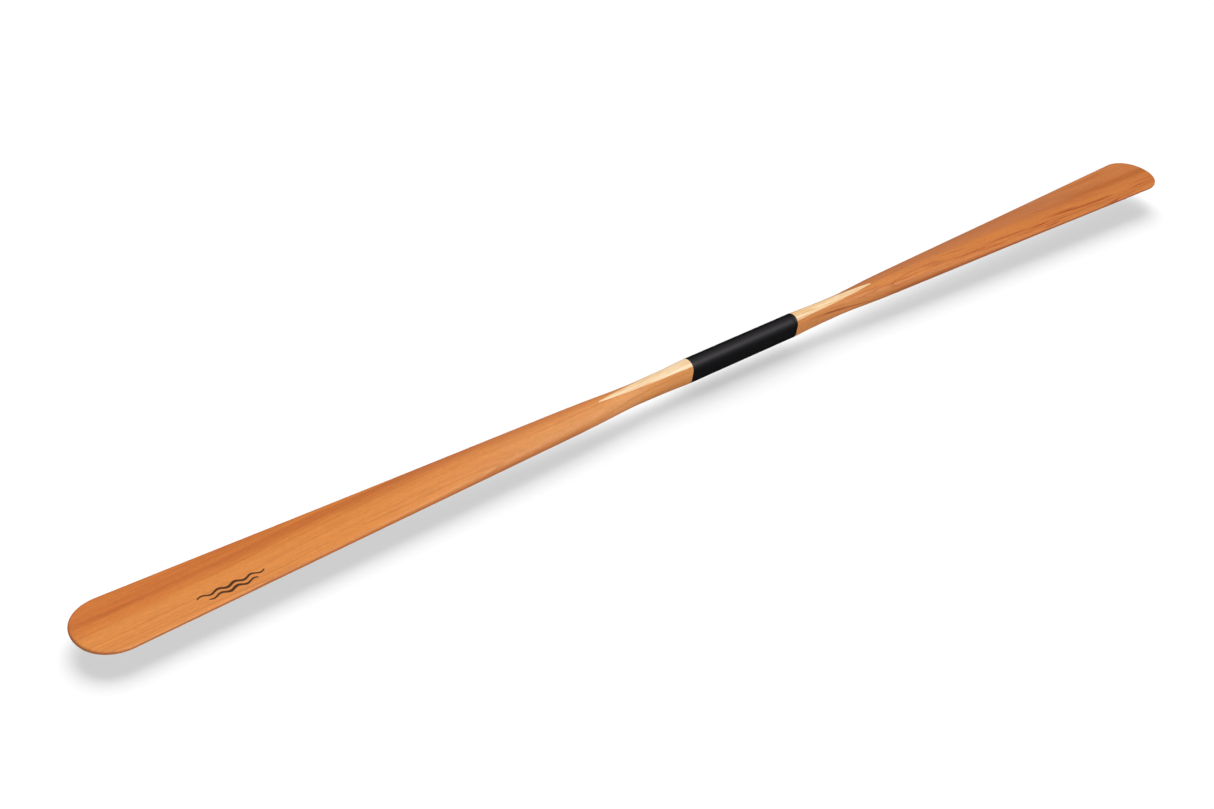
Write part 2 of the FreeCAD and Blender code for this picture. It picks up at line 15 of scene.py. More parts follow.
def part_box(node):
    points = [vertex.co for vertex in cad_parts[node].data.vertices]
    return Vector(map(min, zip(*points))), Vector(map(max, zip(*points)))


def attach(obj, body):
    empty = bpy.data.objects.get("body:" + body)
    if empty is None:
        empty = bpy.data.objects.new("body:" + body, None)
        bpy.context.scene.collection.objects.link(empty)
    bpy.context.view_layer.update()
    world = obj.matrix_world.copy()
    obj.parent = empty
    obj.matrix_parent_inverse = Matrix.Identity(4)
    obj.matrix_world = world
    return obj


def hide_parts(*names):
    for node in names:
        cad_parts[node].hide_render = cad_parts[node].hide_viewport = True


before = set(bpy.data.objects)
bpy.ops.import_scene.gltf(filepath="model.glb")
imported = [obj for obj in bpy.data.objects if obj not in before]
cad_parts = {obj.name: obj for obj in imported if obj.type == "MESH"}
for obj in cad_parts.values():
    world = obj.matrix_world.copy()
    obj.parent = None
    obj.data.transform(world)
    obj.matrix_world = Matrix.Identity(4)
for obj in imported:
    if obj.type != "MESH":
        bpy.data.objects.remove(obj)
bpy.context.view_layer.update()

scene = bpy.context.scene
MM_PER_M = 1000.0

# ---------------------------------------------------------------------------
# Carved wood: dimensions in millimetres
# ---------------------------------------------------------------------------
# distance from the middle, half width, half thickness, rim height, flank slope, ridge softness
STATIONS = (
    (108.8, 13.26, 19.78, 11.00, 0.110, 1.2),
    (130.0, 12.41, 19.23, 10.99, 0.110, 1.2),
    (150.0, 12.14, 18.43, 10.96, 0.110, 1.2),
    (170.0, 12.52, 17.51, 10.87, 0.110, 1.2),
    (190.0, 13.43, 16.59, 10.69, 0.110, 1.2),
    (215.0, 15.03, 15.62, 10.31, 0.110, 1.2),
    (240.0, 16.90, 15.13, 9.73, 0.110, 1.2),
    (276.8, 20.00, 14.74, 8.74, 0.110, 1.4),
    (320.0, 22.67, 14.39, 7.73, 0.110, 2.0),
    (381.8, 25.18, 13.74, 6.58, 0.110, 3.0),
    (470.0, 28.49, 12.51, 5.23, 0.105, 5.0),
    (572.7, 32.08, 10.79, 4.09, 0.100, 8.0),
    (690.0, 35.97, 8.84, 3.44, 0.080, 10.0),
    (811.4, 40.03, 6.57, 3.15, 0.060, 12.0),
    (905.0, 43.18, 4.74, 2.95, 0.040, 13.0),
    (998.0, 46.09, 3.32, 2.69, 0.020, 14.0),
    (1050.0, 47.96, 2.90, 2.50, 0.010, 15.0),
)
SHOULDER = STATIONS[0][0]          # where the wood meets the ferrule
HALF_LENGTH = STATIONS[-1][0]
TIP_START = 998.0                  # the outline starts to round off towards the tip
BLADE_START, BLADE_BLEND = 150.0, 180.0    # loom section turns into blade section
SHOULDER_BLEND = 50.0              # ferrule oval turns into loom section
TIP_POWER, LOOM_POWER, RIM_POWER = 2.07, 2.44, 2.0     # superellipse exponents
RIM_SHARE = 0.4                    # share of the quarter outline given to the rounded rim
MAX_RIM = 0.7                      # widest rim, as a share of the half width
OUTLINE_STEPS = 240

QUARTER_POINTS = 36
# relative gaps along a quarter outline, from the edge to the ridge
GAPS = (12, 14, 17, 21, 27, 36, 50, 70, 90, 105, 112, 110, 100, 88, 75, 65)

# distances of the last rings from the tip
TIP_RINGS = (46, 44, 42, 40, 38, 36, 34, 32, 30, 28, 26, 24, 22, 20, 18, 16, 14, 12.3, 10.7,
             9.2, 7.9, 6.7, 5.6, 4.7, 3.9, 3.2, 2.6, 2.1, 1.65, 1.25, 0.9, 0.6, 0.36, 0.18, 0.06)

# Ferrule: (width, height) of each oval
WALL, SPIGOT_WALL, CLEARANCE, GLUE = 1.6, 1.5, 0.08, 0.1


def inset(size, gap):
    """Oval size with the same gap taken off all round."""
    return size[0] - 2 * gap, size[1] - 2 * gap


SLEEVE = (26.7, 39.7)
BORE = inset(SLEEVE, WALL)
SPIGOT = inset(BORE, CLEARANCE)
SPIGOT_BORE = inset(SPIGOT, SPIGOT_WALL)

# label: side along X, inner end of the tenon, tenon size, glue plane height, end of pale strips
HALVES = {
    "left": (-1, -28.8, inset(BORE, GLUE), 14.72, 277.5),
    "right": (1, 60.0, inset(SPIGOT_BORE, GLUE), 14.63, 286.8),
}
TENON_STEPS = 10


# ---------------------------------------------------------------------------
# Sections of the wood
# ---------------------------------------------------------------------------
def natural_cubic(xs, ys):
    """Natural cubic spline through the points, as a function of x."""
    count = len(xs)
    gap = [xs[i + 1] - xs[i] for i in range(count - 1)]
    ratio, partial = [0.0] * count, [0.0] * count
    linear, square, cube = [0.0] * count, [0.0] * count, [0.0] * count
    for i in range(1, count - 1):
        bend = 3 * (ys[i + 1] - ys[i]) / gap[i] - 3 * (ys[i] - ys[i - 1]) / gap[i - 1]
        pivot = 2 * (xs[i + 1] - xs[i - 1]) - gap[i - 1] * ratio[i - 1]
        ratio[i] = gap[i] / pivot
        partial[i] = (bend - gap[i - 1] * partial[i - 1]) / pivot
    for i in range(count - 2, -1, -1):
        square[i] = partial[i] - ratio[i] * square[i + 1]
        linear[i] = (ys[i + 1] - ys[i]) / gap[i] - gap[i] * (square[i + 1] + 2 * square[i]) / 3
        cube[i] = (square[i + 1] - square[i]) / (3 * gap[i])

    def value(x):
        i = 0
        while i < count - 2 and x > xs[i + 1]:
            i += 1
        u = x - xs[i]
        return ys[i] + linear[i] * u + square[i] * u * u + cube[i] * u ** 3

    return value


station_column, *value_columns = zip(*STATIONS)
full_width, half_thickness, rim_height, flank_slope, ridge_softness = (
    natural_cubic(station_column, column) for column in value_columns)


def smoother(u):
    """0 to 1 with level slope and curvature at both ends."""
    u = max(0.0, min(1.0, u))
    return u * u * u * (u * (6 * u - 15) + 10)


def blend(share, start, end):
    return (1 - share) * start + share * end


def half_width(station):
    """Half width of the plan outline, rounded off at the tip."""
    if station <= TIP_START:
        return full_width(station)
    along = min(1.0, (station - TIP_START) / (HALF_LENGTH - TIP_START))
    return full_width(station) * max(0.0, 1 - along ** TIP_POWER) ** (1 / TIP_POWER)


def edge_distance(station, y):
    """Approximate distance from a point to the plan outline."""
    wide, y = full_width(station), abs(y)
    if station <= TIP_START:
        return wide - y
    tip_length = HALF_LENGTH - TIP_START
    along = (station - TIP_START) / tip_length
    level = (y / wide) ** TIP_POWER + along ** TIP_POWER
    if level >= 1:
        return 0.0
    across_slope = y ** (TIP_POWER - 1) / wide ** TIP_POWER
    along_slope = along ** (TIP_POWER - 1) / tip_length
    slope = level ** (1 / TIP_POWER - 1) * math.hypot(across_slope, along_slope)
    return (1 - level ** (1 / TIP_POWER)) / slope if slope > 1e-9 else 1e9


def rim_width(station):
    """Width over which the section rises from its edge, found by bisection."""
    half, rim = half_width(station), rim_height(station)
    width = half
    if edge_distance(station, 0) > rim:
        low, high = 0.0, half
        for _ in range(45):
            middle = (low + high) / 2
            if edge_distance(station, middle) > rim:
                low = middle
            else:
                high = middle
        width = half - low
    return min(width, MAX_RIM * half)


def stadium_point(share, half, thick):
    """Point on an oval with straight sides and round ends."""
    flat = thick - half
    side_share = flat / (flat + half * math.pi / 2)
    if share <= side_share:
        return half, flat * share / side_share
    turn = math.pi / 2 * (share - side_share) / (1 - side_share)
    return half * math.cos(turn), flat + half * math.sin(turn)


def section_quarter(station):
    """Quarter section from the edge at +Y to the ridge at +Z."""
    half, thick, rim = half_width(station), half_thickness(station), rim_height(station)
    slope, soft, wide = flank_slope(station), ridge_softness(station), full_width(station)
    hollow = (thick - rim - slope * (math.hypot(wide, soft) - soft)) / wide ** 2
    rim_y = rim_width(station)
    to_blade = smoother((station - BLADE_START) / BLADE_BLEND)
    off_shoulder = smoother((station - SHOULDER) / SHOULDER_BLEND)
    points = []
    for i in range(OUTLINE_STEPS + 1):
        share = i / float(OUTLINE_STEPS)
        if share <= RIM_SHARE:
            y = half - rim_y * (1 - math.cos(math.pi / 2 * share / RIM_SHARE))
        else:
            y = (half - rim_y) * (1 - (share - RIM_SHARE) / (1 - RIM_SHARE))
        z = 0.0
        if i:
            crown = thick - slope * (math.hypot(y, soft) - soft) - hollow * y * y
            rise = min(rim, edge_distance(station, y)) / rim
            z = crown * max(0.0, 1 - (1 - rise) ** RIM_POWER) ** (1 / RIM_POWER)
        if to_blade < 1:
            turn = math.pi / 2 * share
            loom_y = half * max(0.0, math.cos(turn)) ** (2 / LOOM_POWER)
            loom_z = thick * math.sin(turn) ** (2 / LOOM_POWER)
            if off_shoulder < 1:
                oval_y, oval_z = stadium_point(share, half, thick)
                loom_y = blend(off_shoulder, oval_y, loom_y)
                loom_z = blend(off_shoulder, oval_z, loom_z)
            y = blend(to_blade, loom_y, y)
            z = blend(to_blade, loom_z, z)
        points.append((y, z))
    return points


gap_ends = np.concatenate([[0], np.cumsum(GAPS)]) / float(sum(GAPS))
POINT_SHARES = np.interp(np.linspace(0, len(GAPS), QUARTER_POINTS + 1),
                         range(len(GAPS) + 1), gap_ends)


def resampled_ring(fine_quarter):
    """Spaces a fine quarter outline by POINT_SHARES and mirrors it into a closed ring."""
    fine = np.array(fine_quarter)
    run = np.concatenate([[0], np.cumsum(np.hypot(*np.diff(fine, axis=0).T))])
    wanted = POINT_SHARES * run[-1]
    quarter = list(zip(np.interp(wanted, run, fine[:, 0]), np.interp(wanted, run, fine[:, 1])))
    ring = list(quarter)
    ring += [(-y, z) for y, z in reversed(quarter[:-1])]
    ring += [(-y, -z) for y, z in quarter[1:]]
    ring += [(y, -z) for y, z in reversed(quarter[1:-1])]
    return ring


def oval_ring(size):
    """Ring of an oval with straight sides, taller than wide."""
    width, height = size
    radius, flat = width / 2.0, (height - width) / 2.0
    side_steps, arc_points = 20, 120
    fine = [(radius, flat * i / float(side_steps)) for i in range(side_steps)]
    fine += [(radius * math.cos(angle), flat + radius * math.sin(angle))
             for angle in np.linspace(0, math.pi / 2, arc_points)]
    return resampled_ring(fine)


def wood_stations():
    """Ring places along one half, closer together towards the tip."""
    places = list(np.arange(SHOULDER, 330, 3.0))
    places += list(np.arange(330, 985, 5.0))
    places += list(np.arange(985, 1003, 2.5))
    places += [HALF_LENGTH - distance for distance in TIP_RINGS]
    return sorted(set(round(float(place), 3) for place in places))


# ---------------------------------------------------------------------------
# Mesh helpers
# ---------------------------------------------------------------------------
def bridge(bm, first, second):
    """Quads between two closed rows of vertices."""
    count = len(first)
    for i in range(count):
        j = (i + 1) % count
        bm.faces.new((first[i], first[j], second[j], second[i]))


def loft(rings, tip=None, closed=False):
    """Skin over (x, ring) pairs: closed into a loop, or capped first and drawn to a tip."""
    bm = bmesh.new()
    rows = [[bm.verts.new((x / MM_PER_M, y / MM_PER_M, z / MM_PER_M)) for y, z in ring]
            for x, ring in rings]
    pairs = list(zip(rows, rows[1:]))
    if closed:
        pairs.append((rows[-1], rows[0]))
    for first, second in pairs:
        bridge(bm, first, second)
    if tip is not None:
        bm.faces.new(list(reversed(rows[0])))
        last = rows[-1]
        tip_vertex = bm.verts.new([value / MM_PER_M for value in tip])
        for i in range(len(last)):
            bm.faces.new((last[i], last[(i + 1) % len(last)], tip_vertex))
    bmesh.ops.recalc_face_normals(bm, faces=bm.faces)
    return bm


def slice_at(bm, point, normal):
    """Keeps what lies behind the plane and closes the cut with a crisp rim."""
    bmesh.ops.bisect_plane(bm, geom=bm.verts[:] + bm.edges[:] + bm.faces[:], dist=1e-7,
                           plane_co=point, plane_no=normal, clear_outer=True)
    rim = [edge for edge in bm.edges if edge.is_boundary]
    for edge in rim:
        edge.smooth = False
    if rim:
        bmesh.ops.triangle_fill(bm, use_beauty=True, use_dissolve=False, edges=rim)


def is_sharp(edge, degrees):
    return len(edge.link_faces) == 2 and edge.calc_face_angle(0.0) > math.radians(degrees)


def link_mesh(bm, name):
    mesh = bpy.data.meshes.new(name)
    bm.to_mesh(mesh)
    bm.free()
    ob = bpy.data.objects.new(name, mesh)
    scene.collection.objects.link(ob)
    return ob


def smooth_object(bm, name, sharp_angle):
    """Welded, smooth-shaded object; edges above the angle join the ones already crisp."""
    bmesh.ops.remove_doubles(bm, verts=bm.verts, dist=2e-7)
    bmesh.ops.recalc_face_normals(bm, faces=bm.faces)
    for face in bm.faces:
        face.smooth = True
    for edge in bm.edges:
        if is_sharp(edge, sharp_angle):
            edge.smooth = False
    return link_mesh(bm, name)


# ---------------------------------------------------------------------------
# Wooden halves: a cedar core between two pale strips
# ---------------------------------------------------------------------------
CARVED_RINGS = [(station, resampled_ring(section_quarter(station)))
                for station in wood_stations()]


def wood_form(side, tenon_end, tenon_size):
    """Whole carved half with the tenon that is hidden in the ferrule."""
    tenon = oval_ring(tenon_size)
    tenon_length = side * SHOULDER - tenon_end
    rings = [(tenon_end + tenon_length * i / TENON_STEPS, tenon)
             for i in range(TENON_STEPS + 1)]
    rings += [(side * station, ring) for station, ring in CARVED_RINGS]
    return loft(rings, tip=(side * HALF_LENGTH, 0, 0))


def wooden_half(label):
    """The three pieces of one half, keyed by the CAD node they stand for."""
    side, tenon_end, tenon_size, glue_plane, strip_end = HALVES[label]
    height, end = glue_plane / MM_PER_M, strip_end / MM_PER_M
    whole = wood_form(side, tenon_end, tenon_size)
    core = whole.copy()
    slice_at(core, (0, 0, height), (0, 0, 1))
    slice_at(core, (0, 0, -height), (0, 0, -1))
    pieces = {label + "_blade_core": smooth_object(core, label + "_blade_plank", 40)}
    for up, level in ((1, "upper"), (-1, "lower")):
        strip = whole.copy()
        slice_at(strip, (0, 0, up * height), (0, 0, -up))
        slice_at(strip, (side * end, 0, 0), (side, 0, 0))
        pieces[f"{label}_{level}_lamella"] = smooth_object(strip, f"{label}_{level}_strip", 40)
    whole.free()
    return pieces


wood = {**wooden_half("left"), **wooden_half("right")}

# ---------------------------------------------------------------------------
# Carbon tubes, in millimetres
# ---------------------------------------------------------------------------
TUBE_STEPS, ARC_STEPS = 40, 6
HOLE_X, HOLE_RADIUS, HOLE_SEGMENTS = 30.0, 3.15, 64
HOLE_CHAMFER = 0.4

# node: name, size, wall, outer edge radius at the -X and +X ends, inner chamfer, has a hole
TUBES = {
    "ferrule_sleeve": ("ferrule_outer_tube", SLEEVE, WALL, 0.7, 0.8, 0.25, True),
    "ferrule_collar": ("ferrule_shoulder_ring", SLEEVE, WALL + CLEARANCE - GLUE / 2,
                       0.8, 0.5, 0.1, False),
    "ferrule_spigot": ("ferrule_inner_tube", SPIGOT, SPIGOT_WALL, 0.5, 0.1, 0.25, True),
}


def edge_arc(x, radius, start, end):
    """Points (x, depth below the outer face) round an outer edge."""
    return [(x + radius * math.cos(angle), radius - radius * math.sin(angle))
            for angle in np.linspace(start, end, ARC_STEPS + 1)]


def tube(name, x0, x1, size, wall, edge0, edge1, chamfer):
    """Oval tube whose wall profile is carried round as a closed loop of rings."""
    outside = np.linspace(x0 + edge0, x1 - edge1, TUBE_STEPS + 1)[:-1]
    inside = np.linspace(x1 - chamfer, x0 + chamfer, TUBE_STEPS + 1)[1:]
    profile = [(x, 0.0) for x in outside]
    profile += edge_arc(x1 - edge1, edge1, math.pi / 2, 0)
    profile += [(x1, wall - chamfer), (x1 - chamfer, wall)]
    profile += [(x, wall) for x in inside]
    profile.append((x0, wall - chamfer))
    profile += edge_arc(x0 + edge0, edge0, math.pi, math.pi / 2)[:-1]
    rings = [(x, oval_ring(inset(size, depth))) for x, depth in profile]
    return smooth_object(loft(rings, closed=True), name, 50)


def hole_cutter(name, outer):
    """Round cutter from the X axis out through the +Y wall, wider at the mouth."""
    wide = HOLE_RADIUS + HOLE_CHAMFER
    profile = ((0.0, HOLE_RADIUS), (outer - 0.35, HOLE_RADIUS), (outer + 0.05, wide),
               (outer + 4, wide))
    angles = [2 * math.pi * i / HOLE_SEGMENTS for i in range(HOLE_SEGMENTS)]
    bm = bmesh.new()
    rows = [[bm.verts.new(((HOLE_X + radius * math.cos(angle)) / MM_PER_M, y / MM_PER_M,
                           radius * math.sin(angle) / MM_PER_M)) for angle in angles]
            for y, radius in profile]
    for first, second in zip(rows, rows[1:]):
        bridge(bm, first, second)
    bm.faces.new(rows[0])
    bm.faces.new(rows[-1])
    bmesh.ops.recalc_face_normals(bm, faces=bm.faces)
    return link_mesh(bm, name)


def drill(ob, outer):
    """Cuts the hole for good, then welds the mesh and marks its sharp edges again."""
    cutter = hole_cutter(ob.name + "_cutter", outer)
    modifier = ob.modifiers.new("hole", "BOOLEAN")
    modifier.operation = "DIFFERENCE"
    modifier.solver = "EXACT"
    modifier.object = cutter
    bpy.context.view_layer.update()
    evaluated = ob.evaluated_get(bpy.context.evaluated_depsgraph_get())
    drilled = bpy.data.meshes.new_from_object(evaluated)
    ob.modifiers.clear()
    solid = ob.data
    ob.data = drilled
    drilled.name = ob.name
    bpy.data.meshes.remove(solid)
    bpy.data.objects.remove(cutter)
    bm = bmesh.new()
    bm.from_mesh(drilled)
    bmesh.ops.remove_doubles(bm, verts=bm.verts, dist=1e-6)
    for face in bm.faces:
        face.smooth = True
    for edge in bm.edges:
        edge.smooth = not is_sharp(edge, 35)
    bm.to_mesh(drilled)
    bm.free()


def carbon_part(node):
    """Tube as long as its CAD node."""
    name, size, wall, edge0, edge1, chamfer, has_hole = TUBES[node]
    low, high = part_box(node)
    ob = tube(name, low.x * MM_PER_M, high.x * MM_PER_M, size, wall, edge0, edge1, chamfer)
    if has_hole:
        drill(ob, size[0] / 2.0)
    return ob


carbon = {node: carbon_part(node) for node in TUBES}


# ---------------------------------------------------------------------------
# Material graphs
# ---------------------------------------------------------------------------
def arithmetic(operation):
    """Plain and reflected operator that add a Math node, operands in written order."""
    def plain(self, other):
        return self.graph.math(operation, self, other)

    def reflected(self, other):
        return self.graph.math(operation, other, self)

    return plain, reflected


class Signal:
    """An output socket that can be used in sums; every operator adds one Math node."""
    __add__, __radd__ = arithmetic("ADD")
    __sub__, __rsub__ = arithmetic("SUBTRACT")
    __mul__, __rmul__ = arithmetic("MULTIPLY")
    __truediv__, __rtruediv__ = arithmetic("DIVIDE")
    __pow__, __rpow__ = arithmetic("POWER")

    def __init__(self, graph, socket):
        self.graph = graph
        self.socket = socket

    def __abs__(self):
        return self.graph.math("ABSOLUTE", self)

    def clamped(self):
        """Limits the Math node just made to 0..1."""
        self.socket.node.use_clamp = True
        return self

    def rise(self, low, high):
        """Smooth step from 0 at low to 1 at high."""
        return self.graph.node("MapRange", {"Value": self, "From Min": low, "From Max": high},
                               interpolation_type="SMOOTHSTEP")

    def fall(self, low, high):
        """Smooth step from 1 at low to 0 at high."""
        return 1.0 - self.rise(low, high)

    def bell(self, centre, width):
        """Bell curve, 1 at the centre and 1/e one width away."""
        u = (self - centre) / width
        return 2.718281828 ** (u * u * -1.0)


class Graph:
    """Node material with a Principled surface."""

    def __init__(self, name):
        self.material = bpy.data.materials.new(name)
        self.material.use_nodes = True
        self.tree = self.material.node_tree
        self.tree.nodes.clear()
        self.output = self.tree.nodes.new("ShaderNodeOutputMaterial")
        self.shader = self.tree.nodes.new("ShaderNodeBsdfPrincipled")
        self.tree.links.new(self.shader.outputs[0], self.output.inputs[0])

    def put(self, socket, value):
        if isinstance(value, Signal):
            self.tree.links.new(value.socket, socket)
        else:
            socket.default_value = value

    def node(self, kind, inputs, output=0, **settings):
        node = self.tree.nodes.new("ShaderNode" + kind)
        for key, value in settings.items():
            setattr(node, key, value)
        for key, value in inputs.items():
            self.put(node.inputs[key], value)
        return Signal(self, node.outputs[output])

    def math(self, operation, *operands):
        return self.node("Math", dict(enumerate(operands)), operation=operation)

    def object_axes(self):
        place = self.node("TexCoord", {}, output="Object")
        separate = self.node("SeparateXYZ", {0: place}).socket.node
        return [Signal(self, socket) for socket in separate.outputs]

    def object_normal_z(self):
        normal = self.node("NewGeometry", {}, output="Normal")
        local = self.node("VectorTransform", {0: normal}, vector_type="NORMAL",
                          convert_from="WORLD", convert_to="OBJECT")
        return self.node("SeparateXYZ", {0: local}, output=2)

    def noise(self, axes, scales, seed, detail=2.0, rough=0.5):
        """Noise with its own scale along each axis."""
        scaled = [axis * scale for axis, scale in zip(axes, scales)]
        vector = self.node("CombineXYZ", dict(enumerate(scaled)))
        return self.node("TexNoise", {"Vector": vector, "W": seed, "Scale": 1.0,
                                      "Detail": detail, "Roughness": rough},
                         noise_dimensions="4D")

    def ramp(self, factor, stops):
        """Grey ramp through (position, level) stops."""
        signal = self.node("ValToRGB", {0: factor})
        elements = signal.socket.node.color_ramp.elements
        while len(elements) < len(stops):
            elements.new(0.5)
        for element, (position, level) in zip(elements, stops):
            element.position = position
            element.color = (level, level, level, 1)
        return signal

    def white(self, value):
        """Random value for each whole number."""
        return self.node("TexWhiteNoise", {"W": value}, noise_dimensions="1D")

    def mix(self, share, base, over, mode="MIX"):
        base, over = (colour + (1,) if isinstance(colour, tuple) else colour
                      for colour in (base, over))
        return self.node("Mix", {0: share, 6: base, 7: over}, output=2, data_type="RGBA",
                         blend_type=mode, clamp_factor=True)

    def tinted(self, colour, level):
        """Colour multiplied by a grey level."""
        grey = self.node("CombineXYZ", {0: level, 1: level, 2: level})
        return self.mix(1.0, colour, grey, mode="MULTIPLY")

    def bump(self, height, strength, distance):
        return self.node("Bump", {"Strength": strength, "Distance": distance,
                                  "Height": height})

    def surface(self, inputs):
        """Fills the Principled inputs and returns the material."""
        for key, value in inputs.items():
            self.put(self.shader.inputs[key], value)
        return self.material


def srgb(*channels):
    """Linear colour from 0..255 sRGB channels."""
    shares = [channel / 255.0 for channel in channels]
    return tuple(v / 12.92 if v <= 0.04045 else ((v + 0.055) / 1.055) ** 2.4 for v in shares)


# ---------------------------------------------------------------------------
# Cedar. In the figures, reach is the distance from the middle of the paddle and the pairs
# given to rise and fall are the places between which an effect fades in or out. Each figure
# returns (darkness of the tone, strength of the streaks, strength of the painted sheen).
# ---------------------------------------------------------------------------
# Bold streaks in the top of the right board:
# reach at start and end, y at start and end, half width, strength
RIGHT_STREAKS = (
    (0.205, 0.330, -0.0070, -0.0110, 0.0009, 0.70),
    (0.240, 0.400, -0.0120, -0.0160, 0.0010, 0.95),
    (0.215, 0.300, -0.0125, -0.0165, 0.0008, 0.70),
    (0.300, 0.440, -0.0185, -0.0225, 0.0008, 0.55),
    (0.450, 0.590, -0.0185, -0.0225, 0.0014, 1.00),
    (0.520, 0.620, -0.0245, -0.0270, 0.0011, 0.80),
    (0.560, 0.700, -0.0190, -0.0215, 0.0011, 0.75),
    (0.640, 0.800, -0.0225, -0.0265, 0.0009, 0.60),
    (0.690, 0.760, -0.0320, -0.0345, 0.0015, 0.95),
    (0.700, 0.860, -0.0290, -0.0320, 0.0009, 0.60),
    (0.660, 0.820, -0.0175, -0.0200, 0.0008, 0.50),
    (0.340, 0.520, -0.0150, -0.0185, 0.0007, 0.55),
    (0.380, 0.560, -0.0215, -0.0250, 0.0007, 0.50),
    (0.480, 0.700, -0.0165, -0.0200, 0.0008, 0.60),
    (0.590, 0.780, -0.0270, -0.0300, 0.0008, 0.60),
    (0.780, 0.940, -0.0250, -0.0275, 0.0008, 0.50),
    (0.820, 0.990, -0.0330, -0.0350, 0.0009, 0.45),
)

# Burnt mark on the upper face of the left blade: two parallel wavy strokes
MARK_X, MARK_Y = -0.864, -0.0258
MARK_PITCH, MARK_SWING, MARK_GAP = 0.0220, 0.0017, 0.0070
MARK_LENGTHS = (0.088, 0.088 * 0.72)       # stroke on the +Y side, stroke on the -Y side
MARK_LINE, MARK_TAPER = 0.00195, 0.55      # half line width, share lost towards the ends
MARK_BLUR = 0.0003
BURNT = srgb(32, 15, 11)


def left_figure(reach, y, soft):
    """A soft dark band that drifts towards +Y away from the tip."""
    line = 0.012 + (HALF_LENGTH / MM_PER_M - reach) * 0.034
    band = y.bell(line, width=0.016) * (0.25 + soft * 0.60)
    tone = y.rise(-0.006, 0.024) * 0.46 + band * 0.34
    tone = tone + reach.rise(0.66, 0.90) * y.rise(-0.014, 0.010) * 0.20
    streaks = 0.35 + y.bell(line, width=0.014) * 0.65
    # painted sheen: a pale veil over the middle of the paddle and over the near side towards the
    # tip
    painted_sheen = reach.fall(0.42, 0.72) * reach.rise(0.17, 0.26) * 0.026
    painted_sheen = painted_sheen + reach.rise(0.66, 0.92) * y.fall(-0.020, 0.008) * 0.012
    return tone, streaks, painted_sheen


def right_figure(reach, y, soft):
    """Brown band along the middle of the blade, red streaks on the -Y side."""
    band = y.bell(0.001, width=0.0085) * (reach.rise(0.62, 0.92) * (0.60 + soft * 0.6))
    far_side = y.rise(-0.013, 0.013) * (0.70 - reach.rise(0.60, 0.97) * 0.72)
    tone = far_side + reach.rise(0.60, 0.95) * 0.22 + band * 0.85
    line = (reach - 0.2) * -0.036 - 0.010
    streaks = 0.42 + y.bell(line, width=0.012) * 1.10
    # painted sheen: a pale veil over the far side, weaker towards the tip, and a little over the
    # middle
    painted_sheen = y.rise(-0.008, 0.016) * (0.030 - reach.rise(0.72, 0.95) * 0.020)
    painted_sheen = painted_sheen + reach.fall(0.45, 0.75) * 0.006
    return tone, streaks, painted_sheen


def bold_streaks(graph, reach, x, y, z, seed, streaks):
    """The listed streaks, wavering and frayed, on the upper half of the board."""
    wavy = graph.noise((x, y, 0.0), (26, 30, 0), seed + 43, detail=3, rough=0.6)
    frayed = graph.noise((x, y, z), (22, 900, 200), seed + 47, rough=0.6)
    wavering_y = y + (wavy - 0.5) * 0.0036
    drawn = 0.0
    for start, end, y_start, y_end, width, strength in streaks:
        along = (reach - start) / (end - start)
        body = wavering_y.bell(y_start + along * (y_end - y_start), width)
        drawn = drawn + body * (along.rise(0.0, 0.35) * along.fall(0.55, 1.0)) * strength
    return (drawn * frayed.rise(0.30, 0.62) * z.rise(-0.001, 0.001)).clamped()


def wave_mark(graph, x, y, z):
    """Mask of the burnt mark."""
    u = x - MARK_X
    total = None
    for offset, length in zip((MARK_GAP / 2, -MARK_GAP / 2), MARK_LENGTHS):
        wave = graph.math("SINE", u * (2 * math.pi / MARK_PITCH)) * MARK_SWING
        across = abs(y - (MARK_Y + offset) - wave)
        past_end = graph.math("MAXIMUM", abs(u) - length / 2, 0.0)
        distance = graph.math("SQRT", across * across + past_end * past_end)
        line = (1.0 - abs(u) / (length / 2) * MARK_TAPER) * MARK_LINE
        stroke = (1.0 - (distance - line) / MARK_BLUR).clamped()
        total = stroke if total is None else graph.math("MAXIMUM", total, stroke)
    ragged = graph.noise((x, y, 0.0), (900, 900, 0), 41.0)
    total = (total * (0.72 + ragged * 0.36)).clamped()
    return (total * graph.math("GREATER_THAN", z, 0.0)).clamped()


